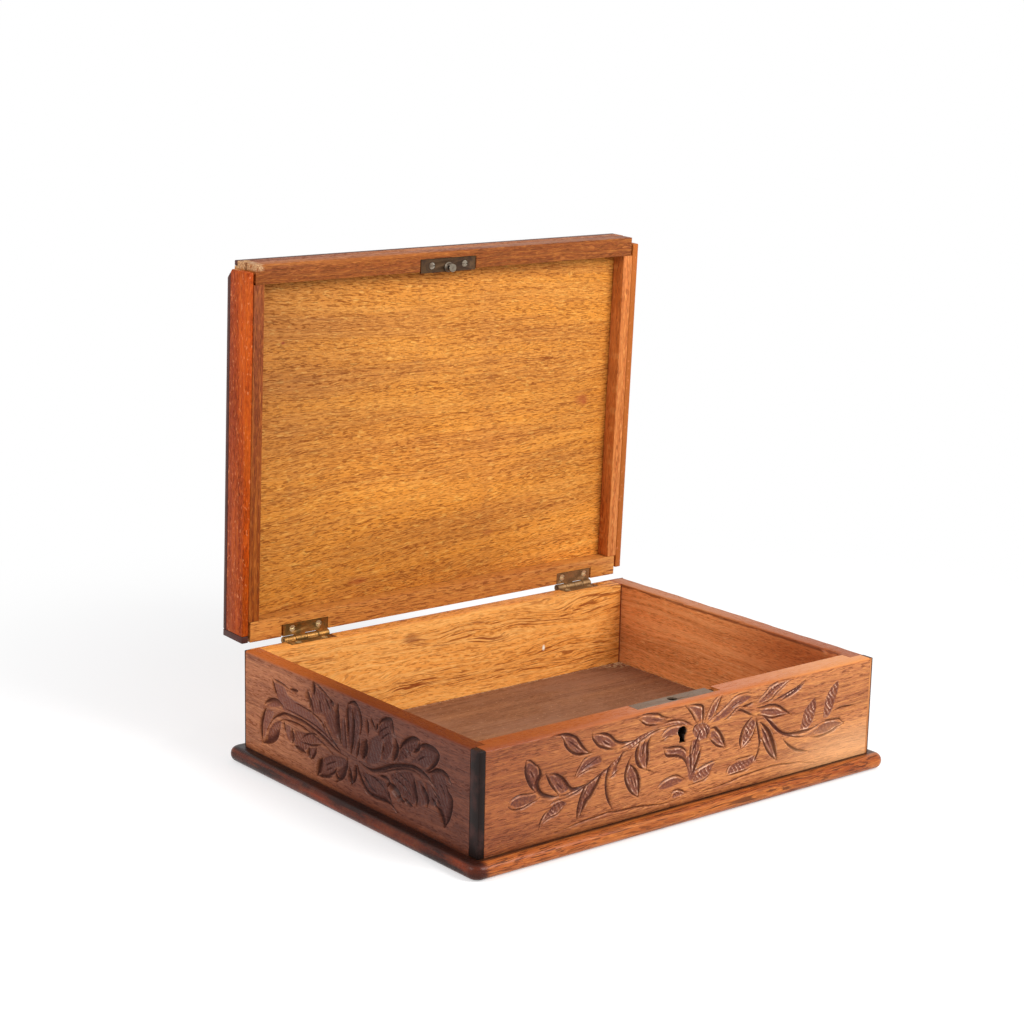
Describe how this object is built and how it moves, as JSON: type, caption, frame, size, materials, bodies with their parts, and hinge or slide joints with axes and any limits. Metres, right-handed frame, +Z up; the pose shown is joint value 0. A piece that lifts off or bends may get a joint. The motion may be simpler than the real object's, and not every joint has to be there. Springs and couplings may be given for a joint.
{
  "type": "wooden box",
  "caption": "Carved oak box with a hinged lid standing open, a rounded base board, dark corner strips, brass hinges and a lock with its keyhole.",
  "frame": {"origin": "centre of the base board's underside", "axes": "+X along the front to the right, +Y to the back, +Z up; the lid stands open 88 degrees"},
  "size_m": [0.316, 0.2587, 0.2994],
  "materials": {
    "wall_oak": "varnished oak, carved outside",
    "floor_oak": "worn oak",
    "base_oak": "glossy varnished oak",
    "lid_panel_oak": "pale varnished oak",
    "lid_frame_oak": "satin oak",
    "lid_facing_oak": "satin red-brown oak",
    "ebonised_wood": "ebonised and varnished",
    "hinge_brass": "aged",
    "lock_steel": "dull"
  },
  "bodies": {
    "box": {"base_board": "base_oak", "floor_board": "floor_oak", "front_wall": "wall_oak", "back_wall": "wall_oak", "left_wall": "wall_oak", "right_wall": "wall_oak", "corner_strip_front_left": "ebonised_wood", "corner_strip_front_right": "ebonised_wood", "corner_strip_back_left": "ebonised_wood", "corner_strip_back_right": "ebonised_wood", "base_screw_1": "lock_steel", "base_screw_2": "lock_steel", "base_screw_3": "lock_steel", "base_screw_4": "lock_steel", "base_screw_5": "lock_steel", "base_screw_6": "lock_steel", "lock_plate": "lock_steel", "lock_case": "lock_steel", "key_pin": "lock_steel", "lock_screw_1": "lock_steel", "lock_screw_2": "lock_steel", "lock_screw_3": "lock_steel", "lock_screw_4": "lock_steel", "hinge_left_body_leaf": "hinge_brass", "hinge_left_pin": "hinge_brass", "hinge_left_body_screw_1": "hinge_brass", "hinge_left_body_screw_2": "hinge_brass", "hinge_right_body_leaf": "hinge_brass", "hinge_right_pin": "hinge_brass", "hinge_right_body_screw_1": "hinge_brass", "hinge_right_body_screw_2": "hinge_brass"},
    "lid": {"lid_panel": "lid_panel_oak", "lid_front_rail": "lid_frame_oak", "lid_back_rail": "lid_frame_oak", "lid_left_rail": "lid_frame_oak", "lid_right_rail": "lid_frame_oak", "lid_left_facing": "lid_facing_oak", "lid_right_facing": "lid_facing_oak", "lid_edge_strip_left": "ebonised_wood", "lid_edge_strip_right": "ebonised_wood", "lid_edge_strip_front": "ebonised_wood", "lid_edge_strip_back": "ebonised_wood", "lid_corner_strip": "ebonised_wood", "striker_plate": "lock_steel", "striker_post": "lock_steel", "striker_screw_1": "lock_steel", "striker_screw_2": "lock_steel", "hinge_left_lid_leaf": "hinge_brass", "hinge_left_lid_screw_1": "hinge_brass", "hinge_left_lid_screw_2": "hinge_brass", "hinge_right_lid_leaf": "hinge_brass", "hinge_right_lid_screw_1": "hinge_brass", "hinge_right_lid_screw_2": "hinge_brass"},
    "bolt": {"lock_bolt": "lock_steel"}
  },
  "joints": [
    {"name": "lid_hinge", "type": "hinge", "parent": "box", "child": "lid", "pos_m": [0, 0.1162, 0.06915], "axis": [1, 0, 0], "range_deg": [0, 88]},
    {"name": "bolt_slide", "type": "slide", "parent": "box", "child": "bolt", "axis": [-1, 0, 0], "range_m": [0, 0.006]}
  ]
}
